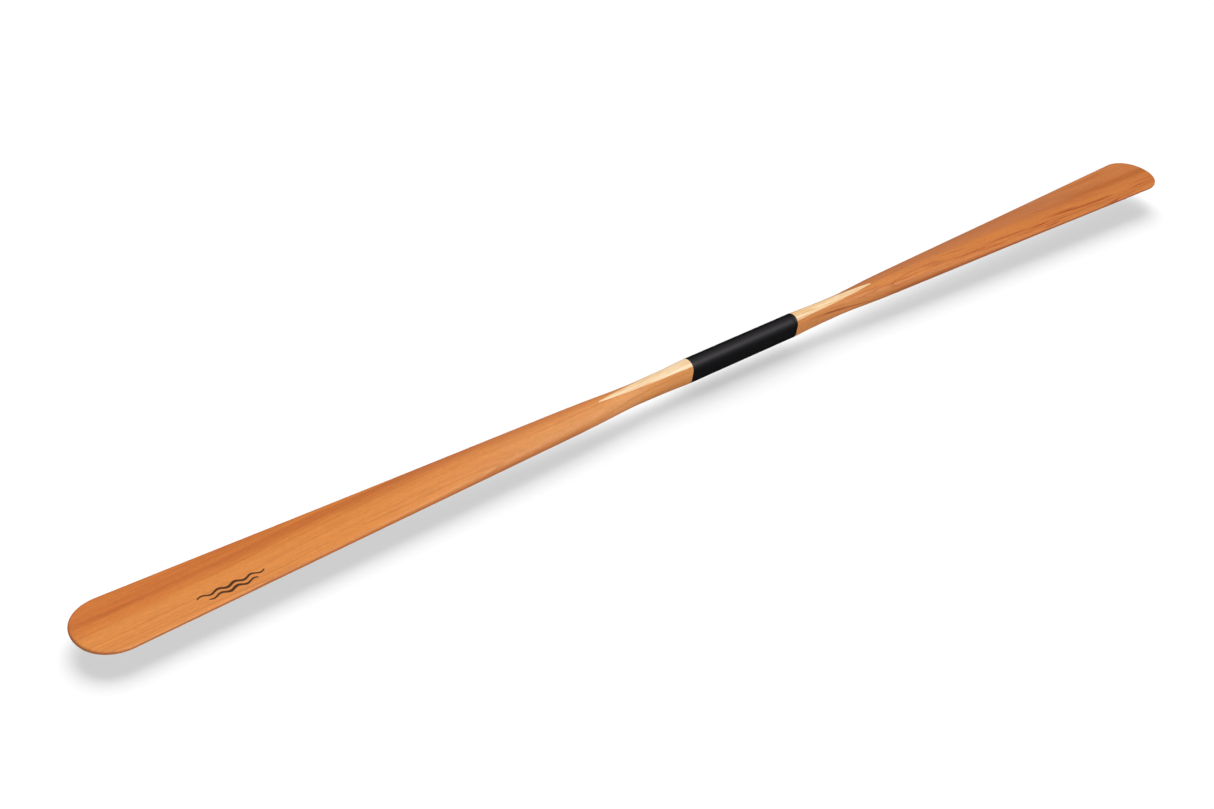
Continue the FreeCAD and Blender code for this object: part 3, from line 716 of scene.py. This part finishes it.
def cedar(name, seed, pith, spacing, warp, figure, tones, loom_tone, late, late_share,
          red, red_share, streaks=(), mark=None, underside=0.0):
    """Straight-grained oiled cedar: growth rings, broad colour bands, streaks and pores, with a
    painted sheen and painted shade.

    pith: (y, z) of the line the rings run round; spacing: ring pitch; warp: ring wander;
    tones: light to dark; late: dark ring colour; underside: strength of the painted shade below
    the loom.
    """
    g = Graph(name)
    x, y, z = axes = g.object_axes()
    reach = abs(x)

    # distance from the pith, which wanders along the plank
    slow = g.noise(axes, (1.6, 7, 7), seed)
    mid = g.noise(axes, (9, 60, 60), seed + 3)
    pith_y = y - pith[0]
    pith_z = z - pith[1]
    radius = g.math("SQRT", pith_y * pith_y + pith_z * pith_z)
    radius = radius + (slow - 0.5) * (0.022 * warp)
    radius = radius + (mid - 0.5) * (0.0026 * warp)

    # growth rings of uneven pitch and darkness, broken up along the grain
    cells = radius / spacing
    cells = cells + g.noise((radius, 0.0, 0.0), (110, 0, 0), seed + 5) * 3.0
    ring = g.ramp(g.math("FRACT", cells),
                  [(0.0, 0.0), (0.40, 0.10), (0.78, 0.70), (0.90, 1.0), (1.0, 0.0)])
    pick = g.white(g.math("FLOOR", cells))
    ring = ring * (0.12 + pick ** 2.2 * 0.88)
    ring = ring * g.noise(axes, (5, 60, 60), seed + 37).rise(0.30, 0.62)

    # broad bands of colour that follow the rings
    ring_axes = (x, radius, z)
    band = g.noise(ring_axes, (1.1, 120, 3), seed + 11, detail=3, rough=0.62)
    soft = g.noise(ring_axes, (2.2, 260, 8), seed + 13, detail=3, rough=0.62)
    tone, streaky, painted_sheen = figure(reach, y, soft)
    tone = tone + (band - 0.45) * 0.9
    tone = (tone + (soft - 0.5) * 0.7).clamped()

    # narrow red-brown streaks lying in the rings
    streak = g.noise(ring_axes, (7, 560, 12), seed + 17, rough=0.6).rise(0.50, 0.68)
    patches = g.noise(ring_axes, (4.2, 110, 5), seed + 23, detail=1)
    streak = streak * patches.rise(0.40, 0.64) * streaky
    if streaks:
        streak = (streak + bold_streaks(g, reach, x, y, z, seed, streaks)).clamped()

    # pores and fibres
    fibre = g.noise(axes, (28, 1500, 1500), seed + 29, rough=0.6)
    coarse = g.noise(axes, (18, 520, 520), seed + 41, rough=0.6)
    fleck = g.noise(axes, (90, 2600, 2600), seed + 31, detail=1).rise(0.58, 0.74)
    mottle = g.noise(axes, (150, 430, 430), seed + 53, rough=0.7)

    # colour: tones, loom, rings, streaks, fibres, pores, then a painted sheen: a pale veil in
    # place of reflected light
    colour = g.mix(tone.rise(0.0, 0.55), tones[0], tones[1])
    colour = g.mix(tone.rise(0.50, 1.0), colour, tones[2])
    colour = g.mix(reach.fall(0.20, 0.62) * y.fall(-0.012, 0.014) * 0.75, colour, loom_tone)
    colour = g.mix(ring * late_share, colour, late)
    colour = g.mix((streak * red_share).clamped(), colour, red)
    colour = g.tinted(colour, 0.61 + (fibre * 0.18 + (coarse * 0.26 + mottle * 0.34)))
    colour = g.mix(fleck * 0.18, colour, late)
    # painted sheen mixed into the colour, standing in for reflected light
    colour = g.mix(painted_sheen, colour, (0.60, 0.70, 0.74))

    # painted shade: the steep rounded edges of the blades are darkened towards the ring colour,
    # and so is the lower side of the loom
    edge = abs(g.object_normal_z()).fall(0.12, 0.80) * reach.rise(0.22, 0.36)
    colour = g.mix(edge * 0.60, colour, late)
    if underside:
        low = z.fall(-0.012, 0.006) * reach.fall(0.22, 0.36)
        colour = g.mix(low * underside, colour, late)

    rough = 0.42 + (ring * 0.07 + fibre * 0.10)
    height = ring * 0.8 + (fibre * 0.35 + fleck * -0.5)
    if mark is not None:
        burn = mark(g, x, y, z)
        colour = g.mix(burn, colour, BURNT)
        rough = rough + burn * 0.25
        height = height - burn * 2.0
    return g.surface({
        "Base Color": colour, "Roughness": rough, "IOR": 1.45, "Specular IOR Level": 0.28,
        "Coat Weight": 0.05, "Coat Roughness": 0.28,
        "Normal": g.bump(height, strength=0.35, distance=0.00012)})


# ---------------------------------------------------------------------------
# Other materials
# ---------------------------------------------------------------------------
PALE_SPACING = 0.0024              # growth ring pitch of the pale strips
PALE_RING, PALE_FLECK = srgb(214, 156, 92), srgb(205, 145, 85)
PALE_SHORT_DARK, PALE_SHORT_LIGHT = srgb(206, 146, 84), srgb(250, 226, 190)
PALE_LONG_DARK, PALE_LONG_LIGHT = srgb(224, 166, 100), srgb(252, 228, 190)
TOW_WIDTH, TOW_SLANT = 0.0020, 0.0165      # tow pitch, travel along X per radian round the tube


def pale(name, seed, grain, speck, light, deep):
    """Pale, even-grained wood. grain: strength of rings; speck: strength of short marks."""
    g = Graph(name)
    y, z = (axes := g.object_axes())[1:]
    slow = g.noise(axes, (3, 12, 12), seed)
    cells = (y + z * 0.35 + (slow - 0.5) * 0.010) / PALE_SPACING
    ring = g.ramp(g.math("FRACT", cells), [(0.0, 0.0), (0.50, 0.15), (0.86, 1.0), (1.0, 0.0)])
    ring = ring * (0.3 + g.white(g.math("FLOOR", cells)) * 0.7)
    band = g.ramp(g.noise(axes, (2, 90, 90), seed + 7, detail=3, rough=0.6),
                  [(0.32, 0.0), (0.70, 1.0)])
    fibre = g.noise(axes, (35, 1700, 1700), seed + 9, rough=0.6)
    fleck = g.ramp(g.noise(axes, (120, 2400, 2400), seed + 13, detail=1),
                   [(0.62, 0.0), (0.75, 1.0)])
    colour = g.mix(band, light, deep)
    colour = g.mix(ring * grain, colour, PALE_RING)
    colour = g.tinted(colour, 0.94 + fibre * 0.12)
    colour = g.mix(fleck * 0.16, colour, PALE_FLECK)
    # short marks, then long ones: dark where the noise is high, light where it is low
    short = g.noise(axes, (60, 620, 620), seed + 17, rough=0.6)
    colour = g.mix(short.rise(0.54, 0.72) * speck, colour, PALE_SHORT_DARK)
    colour = g.mix(short.fall(0.30, 0.46) * (speck * 0.6), colour, PALE_SHORT_LIGHT)
    long = g.noise(axes, (9, 330, 330), seed + 21, rough=0.6)
    colour = g.mix(long.rise(0.48, 0.62) * 0.60, colour, PALE_LONG_DARK)
    colour = g.mix(long.fall(0.34, 0.48) * 0.60, colour, PALE_LONG_LIGHT)
    return g.surface({
        "Base Color": colour, "Roughness": 0.36 + fibre * 0.12, "IOR": 1.45,
        "Coat Weight": 0.18, "Coat Roughness": 0.30,
        "Normal": g.bump(ring + fibre * 0.5, strength=0.30, distance=0.00010)})


def carbon_skin(name, seed, weave, rough):
    """Satin carbon tube: slanting tows show faintly through the matt epoxy."""
    g = Graph(name)
    x, y, z = axes = g.object_axes()
    around = g.math("ARCTAN2", z, y) * TOW_SLANT
    one_way = (x + around) / TOW_WIDTH
    other_way = (x - around) / TOW_WIDTH
    tows = g.math("SINE", one_way * math.pi) * g.math("SINE", other_way * math.pi)
    tows = (tows + 1.0) * 0.5
    dust = g.noise(axes, (900, 900, 900), seed, detail=3, rough=0.6)
    cloud = g.noise(axes, (18, 60, 60), seed + 2, detail=3, rough=0.6)
    sanding = g.noise(axes, (2500, 160, 160), seed + 4, rough=0.6)
    colour = g.mix(tows * (0.6 * weave), (0.0044, 0.0040, 0.0046), (0.0092, 0.0085, 0.0097))
    colour = g.mix(cloud * 0.5, colour, (0.0094, 0.0087, 0.0097))
    facing = g.node("LayerWeight", {"Blend": 0.5}, output="Facing")
    height = tows * (0.5 * weave) + (dust * 0.35 + sanding * 0.35)
    return g.surface({
        "Base Color": colour,
        "Roughness": rough + ((cloud - 0.5) * 0.10 + (dust - 0.5) * 0.10),
        "IOR": 1.45,
        "Specular IOR Level": 0.50 * facing.fall(0.40, 0.80),      # less shine at grazing view
        "Specular Tint": (1.0, 0.94, 1.03, 1),
        "Normal": g.bump(height, strength=0.25, distance=0.00006)})


def steel(name, seed, brush_scales):
    """Brushed stainless steel; unequal brush scales draw the marks out along X."""
    g = Graph(name)
    axes = g.object_axes()
    brush = g.noise(axes, brush_scales, seed, detail=3, rough=0.6)
    cloud = g.noise(axes, (120, 120, 120), seed + 2, detail=3, rough=0.6)
    return g.surface({
        "Base Color": g.mix(cloud, (0.50, 0.49, 0.475), (0.66, 0.65, 0.63)),
        "Metallic": 0.78,
        "Roughness": 0.20 + (brush * 0.16 + cloud * 0.08),
        "Normal": g.bump(brush, strength=0.2, distance=0.00003)})


def moulded(name, seed):
    """Fine-grained moulded black plastic."""
    g = Graph(name)
    axes = g.object_axes()
    grain = g.noise(axes, (2200, 2200, 2200), seed, detail=3, rough=0.6)
    cloud = g.noise(axes, (70, 70, 70), seed + 2, detail=3, rough=0.6)
    return g.surface({
        "Base Color": g.mix(cloud, (0.016, 0.016, 0.017), (0.028, 0.028, 0.029)),
        "Roughness": 0.48 + grain * 0.14,
        "Normal": g.bump(grain, strength=0.4, distance=0.00006)})


materials = {
    "left_cedar": cedar(
        "cedar_left", seed=1.7, pith=(0.12, -0.20), spacing=0.0022, warp=1.0,
        figure=left_figure,
        tones=(srgb(216, 136, 65), srgb(206, 122, 57), srgb(191, 104, 49)),
        loom_tone=srgb(219, 149, 84), late=srgb(168, 88, 42), late_share=0.62,
        red=srgb(172, 84, 40), red_share=0.45, mark=wave_mark, underside=0.36),
    "right_cedar": cedar(
        "cedar_right", seed=9.3, pith=(0.10, -0.20), spacing=0.0024, warp=1.5,
        figure=right_figure,
        tones=(srgb(204, 123, 60), srgb(194, 116, 60), srgb(186, 106, 48)),
        loom_tone=srgb(211, 136, 72), late=srgb(152, 74, 34), late_share=0.85,
        red=srgb(158, 66, 30), red_share=0.90, streaks=RIGHT_STREAKS),
    "left_pale_wood": pale("pale_left", seed=4.1, grain=0.50, speck=0.25,
                           light=srgb(246, 220, 181), deep=srgb(241, 205, 153)),
    "right_pale_wood": pale("pale_right", seed=6.6, grain=0.60, speck=0.60,
                            light=srgb(244, 213, 170), deep=srgb(237, 196, 140)),
    "carbon": carbon_skin("carbon_satin", seed=2.0, weave=1.0, rough=0.53),
    "spigot": carbon_skin("carbon_spigot", seed=5.0, weave=0.6, rough=0.28),
    "strip": steel("steel_strip", seed=3.0, brush_scales=(80, 6000, 6000)),
    "pin": steel("steel_pin", seed=8.0, brush_scales=(5000, 5000, 5000)),
    "plug": moulded("plug_plastic", seed=7.0),
}


# ---------------------------------------------------------------------------
# Materials and bodies of the pieces
# ---------------------------------------------------------------------------
def fit(ob, node, material, body):
    ob.data.materials.clear()
    ob.data.materials.append(material)
    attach(ob, body)
    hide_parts(node)


for node, ob in wood.items():
    label = node.split("_")[0]
    slot = "cedar" if "core" in node else "pale_wood"
    fit(ob, node, materials[f"{label}_{slot}"], label + "_half")
    ob.visible_diffuse = False     # keeps the paper under the blades neutral

for node, key, body in (("ferrule_sleeve", "carbon", "left_half"),
                        ("ferrule_collar", "carbon", "right_half"),
                        ("ferrule_spigot", "spigot", "right_half")):
    fit(carbon[node], node, materials[key], body)

# CAD pieces that keep their own meshes
for node, key in (("spigot_end_plug", "plug"), ("button_spring", "strip"),
                  ("lock_button", "pin")):
    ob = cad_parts[node]
    for slot in ob.material_slots:
        slot.material = materials[key]
    if not ob.material_slots:
        ob.data.materials.append(materials[key])

# ---------------------------------------------------------------------------
# Stage, in metres
# ---------------------------------------------------------------------------
FLOOR_REACH, FLOOR_Z = 14.0, -0.0380
FLOOR_FALL = 0.0089                # drop per metre towards +X
SWELL_HEIGHT, SWELL_REACH = 0.0035, 0.32       # low swell under the middle


def floor_height(x):
    return FLOOR_Z - FLOOR_FALL * x + SWELL_HEIGHT * math.exp(-(x / SWELL_REACH) ** 2)


def paper():
    """Matt white paper, clear from below so that the underside of the paddle can be seen."""
    g = Graph("floor_paper")
    x, y, _ = g.object_axes()
    cloud = g.noise((x, y, 0.0), (3, 3, 0), 1.0)
    g.surface({"Base Color": g.mix(cloud, (0.90, 0.90, 0.90), (0.92, 0.92, 0.92)),
               "Roughness": 0.9, "Specular IOR Level": 0.1})
    from_below = g.node("NewGeometry", {}, output="Backfacing")
    clear = g.node("BsdfTransparent", {})
    white = Signal(g, g.shader.outputs[0])
    g.put(g.output.inputs[0], g.node("MixShader", {0: from_below, 1: white, 2: clear}))
    return g.material


def build_floor():
    rows = [-FLOOR_REACH] + [float(x) for x in np.linspace(-1.2, 1.2, 49)] + [FLOOR_REACH]
    mesh = bpy.data.meshes.new("floor")
    mesh.from_pydata(
        [(x, y, floor_height(x)) for x in rows for y in (-FLOOR_REACH, FLOOR_REACH)], [],
        [(2 * i, 2 * i + 2, 2 * i + 3, 2 * i + 1) for i in range(len(rows) - 1)])
    ob = bpy.data.objects.new("floor", mesh)
    scene.collection.objects.link(ob)
    mesh.materials.append(paper())
    ob.visible_glossy = False


def build_world():
    """White for the camera, soft fill for other rays, nothing in reflections."""
    world = bpy.data.worlds.new("studio")
    scene.world = world
    world.use_nodes = True
    nodes, links = world.node_tree.nodes, world.node_tree.links
    background = nodes["Background"]
    background.inputs["Color"].default_value = (1, 1, 1, 1)
    ray = nodes.new("ShaderNodeLightPath")
    level = nodes.new("ShaderNodeMapRange")
    level.inputs["To Min"].default_value = 0.22
    level.inputs["To Max"].default_value = 1.05
    links.new(ray.outputs["Is Camera Ray"], level.inputs["Value"])
    links.new(level.outputs[0], background.inputs["Strength"])
    world.cycles_visibility.glossy = False


def sun(name, towards, power, degrees, shadow=True, diffuse=True, glossy=True):
    """Sun lamp that stands in the given direction; degrees is its apparent size."""
    light = bpy.data.lights.new(name, "SUN")
    light.energy = power
    light.angle = math.radians(degrees)
    light.use_shadow = shadow
    light.cycles.use_multiple_importance_sampling = False
    ob = bpy.data.objects.new(name, light)
    ob.rotation_euler = Vector(towards).to_track_quat("Z", "Y").to_euler()
    ob.location = Vector(towards) * 3.0
    ob.visible_diffuse = diffuse
    ob.visible_glossy = glossy
    scene.collection.objects.link(ob)


build_floor()
build_world()
sun("overhead", towards=(0.42, 0.60, 1.0), power=1.80, degrees=52, glossy=False)
sun("sheen", towards=(0.0, 0.03, 1.0), power=1.25, degrees=38, shadow=False, diffuse=False)
sun("key", towards=(0.35, -0.60, 0.72), power=2.00, degrees=26, shadow=False)

# ---------------------------------------------------------------------------
# Camera: long lens above the -X, -Y side, looking towards +X and +Y and down
# ---------------------------------------------------------------------------
CAMERA_TURN = math.radians(35.7531)        # view turned from the YZ plane towards +X
CAMERA_DIP = math.radians(47.2832)         # view tipped down from +Y
AXIS_SLOPE = math.radians(23.695679)       # climb of the paddle axis across the view
# the origin as the camera sees it: ahead, to the right and up, in metres
ORIGIN_AHEAD, ORIGIN_RIGHT, ORIGIN_UP = 2.494583, 0.19340934, 0.08250550
SENSOR_WIDTH, FOCAL_LENGTH = 36.0, 50.800478       # millimetres


def camera_pose():
    turn_sin, turn_cos = math.sin(CAMERA_TURN), math.cos(CAMERA_TURN)
    dip_sin, dip_cos = math.sin(CAMERA_DIP), math.cos(CAMERA_DIP)
    slope_sin, slope_cos = math.sin(AXIS_SLOPE), math.cos(AXIS_SLOPE)
    view = np.array([turn_sin, turn_cos * dip_cos, -turn_cos * dip_sin])
    # the paddle axis as it appears in the view, and the direction square to it
    axis = np.array([turn_cos, -turn_sin * dip_cos, turn_sin * dip_sin])
    square = np.array([0.0, dip_sin, dip_cos])
    right = axis * slope_cos - square * slope_sin
    up = axis * slope_sin + square * slope_cos
    eye = -(ORIGIN_AHEAD * view + ORIGIN_RIGHT * right + ORIGIN_UP * up)
    pose = np.eye(4)
    pose[:3] = np.column_stack((right, up, -view, eye))
    return Matrix(pose.tolist())


camera_data = bpy.data.cameras.new("camera")
camera = bpy.data.objects.new("camera", camera_data)
scene.collection.objects.link(camera)
camera.matrix_world = camera_pose()
camera_data.sensor_fit = "HORIZONTAL"
camera_data.sensor_width = SENSOR_WIDTH
camera_data.lens = FOCAL_LENGTH
camera_data.clip_end = 100
scene.camera = camera
scene.view_settings.view_transform = "Standard"
scene.view_settings.look = "None"

bpy.context.view_layer.update()
